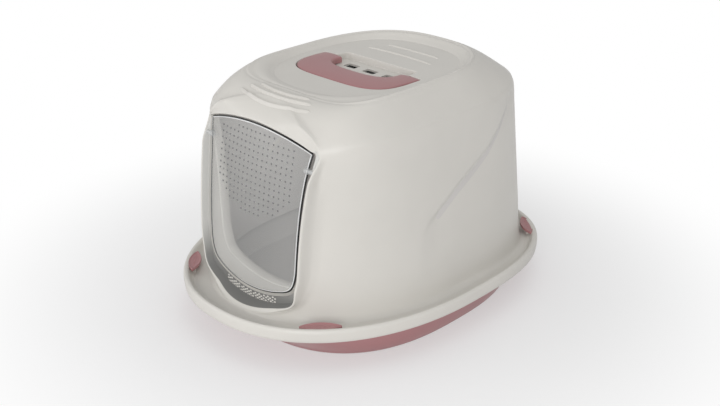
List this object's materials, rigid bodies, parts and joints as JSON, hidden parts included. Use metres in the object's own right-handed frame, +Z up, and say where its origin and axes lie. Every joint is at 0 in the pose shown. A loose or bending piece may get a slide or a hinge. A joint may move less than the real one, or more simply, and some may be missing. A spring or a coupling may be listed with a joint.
{
  "type": "hooded litter box",
  "caption": "Hooded litter box: a boat shaped tray, a lift-off hood with a clear swing door, a fold-down carry handle, corner clips and a roof filter.",
  "frame": {"origin": "middle of the tray's underside, on the floor", "axes": "-Y towards the swing door at the front, +Y to the rear, +X to the right seen from the front, +Z up"},
  "size_m": [0.45, 0.57, 0.357],
  "materials": {
    "pink_plastic": "dusty rose moulded plastic, satin to glossy",
    "ivory_plastic": "warm pale grey moulded plastic, satin",
    "clear_plastic": "clear smooth plastic sheet with a dot pattern",
    "filter_foam": "black carbon filter foam"
  },
  "bodies": {
    "tray": {"tray": "pink_plastic"},
    "hood": {"hood": "ivory_plastic"},
    "door": {"door": "clear_plastic"},
    "carry_handle": {"carry_handle": "pink_plastic"},
    "filter_holder": {"filter_holder": "ivory_plastic", "filter_pad": "filter_foam"},
    "clip_front_right": {"clip_front_right": "pink_plastic"},
    "clip_front_left": {"clip_front_left": "pink_plastic"},
    "clip_rear_right": {"clip_rear_right": "pink_plastic"},
    "clip_rear_left": {"clip_rear_left": "pink_plastic"}
  },
  "joints": [
    {"name": "hood_lift", "type": "slide", "parent": "tray", "child": "hood", "axis": [0, 0, 1], "range_m": [0, 0.105]},
    {"name": "door_swing", "type": "hinge", "parent": "hood", "child": "door", "pos_m": [0, -0.207, 0.275], "axis": [1, 0, 0], "range_deg": [-80, 60]},
    {"name": "handle_lift", "type": "hinge", "parent": "hood", "child": "carry_handle", "pos_m": [0, 0.01, 0.3422], "axis": [-1, 0, 0], "range_deg": [0, 95]},
    {"name": "filter_holder_drop", "type": "hinge", "parent": "hood", "child": "filter_holder", "pos_m": [0, 0.0404, 0.328], "axis": [1, 0, 0], "range_deg": [0, 80]},
    {"name": "clip_front_right_release", "type": "hinge", "parent": "hood", "child": "clip_front_right", "pos_m": [0.13683, -0.22502, 0.0557], "axis": [-0.6915, -0.7224, 0], "range_deg": [0, 16]},
    {"name": "clip_front_left_release", "type": "hinge", "parent": "hood", "child": "clip_front_left", "pos_m": [-0.13683, -0.22502, 0.0557], "axis": [-0.6915, 0.7224, 0], "range_deg": [0, 16]},
    {"name": "clip_rear_right_release", "type": "hinge", "parent": "hood", "child": "clip_rear_right", "pos_m": [0.14795, 0.22508, 0.0557], "axis": [0.7722, -0.6354, 0], "range_deg": [0, 16]},
    {"name": "clip_rear_left_release", "type": "hinge", "parent": "hood", "child": "clip_rear_left", "pos_m": [-0.14795, 0.22508, 0.0557], "axis": [0.7722, 0.6354, 0], "range_deg": [0, 16]}
  ]
}
